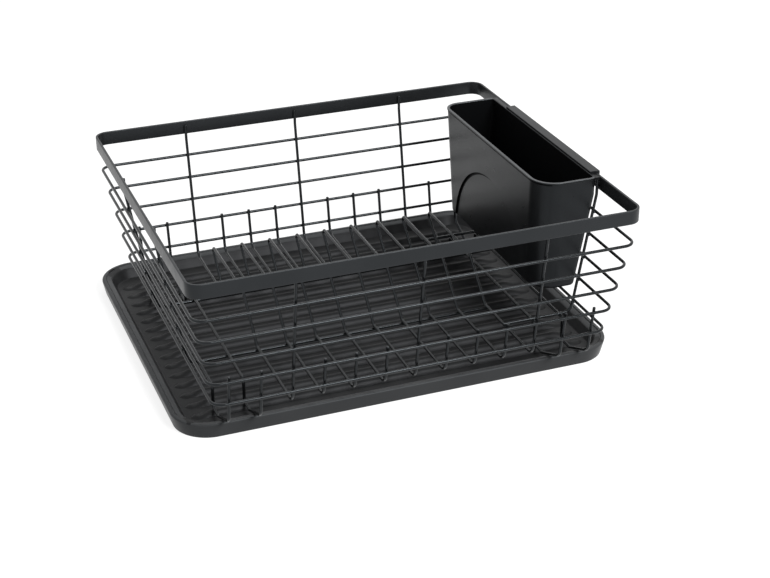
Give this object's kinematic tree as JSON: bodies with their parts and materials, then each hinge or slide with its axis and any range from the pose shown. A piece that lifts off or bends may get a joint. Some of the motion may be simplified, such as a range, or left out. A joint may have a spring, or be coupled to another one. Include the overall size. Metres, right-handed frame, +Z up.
{
  "type": "dish drainer",
  "caption": "Black wire dish drainer with a flat rim band, plate slots, a hook-on cutlery caddy and a ribbed drip tray that it stands on.",
  "frame": {"origin": "middle of the object's outline on the counter, at the height of the tray's underside", "axes": "+X along the width towards the cutlery caddy, +Y towards the back, +Z up"},
  "size_m": [0.36, 0.3256, 0.1477],
  "materials": {
    "coated_wire": "satin black powder coat",
    "coated_band": "satin black powder coat",
    "tray_plastic": "matt to satin black moulded plastic",
    "caddy_plastic": "satin black moulded plastic"
  },
  "bodies": {
    "tray": {"drip_tray": "tray_plastic"},
    "basket": {"rim_band": "coated_band", "hoop_1": "coated_wire", "hoop_2": "coated_wire", "hoop_3": "coated_wire", "hoop_4": "coated_wire", "hoop_5": "coated_wire", "foot_wire_1": "coated_wire", "foot_wire_2": "coated_wire", "foot_wire_3": "coated_wire", "foot_wire_4": "coated_wire", "plate_wire_1": "coated_wire", "plate_wire_2": "coated_wire", "plate_wire_3": "coated_wire", "plate_wire_4": "coated_wire", "plate_wire_5": "coated_wire", "plate_wire_6": "coated_wire", "plate_wire_7": "coated_wire", "plate_wire_8": "coated_wire", "plate_wire_9": "coated_wire", "side_wire_left_front": "coated_wire", "side_wire_left_rear": "coated_wire", "side_wire_right_front": "coated_wire", "side_wire_right_rear": "coated_wire"},
    "caddy": {"cutlery_caddy": "caddy_plastic"}
  },
  "joints": [
    {"name": "basket_lift", "type": "slide", "parent": "tray", "child": "basket", "axis": [0, 0, 1], "range_m": [0, 0.1]},
    {"name": "caddy_lift", "type": "slide", "parent": "basket", "child": "caddy", "axis": [0, 0, 1], "range_m": [0, 0.13]}
  ]
}
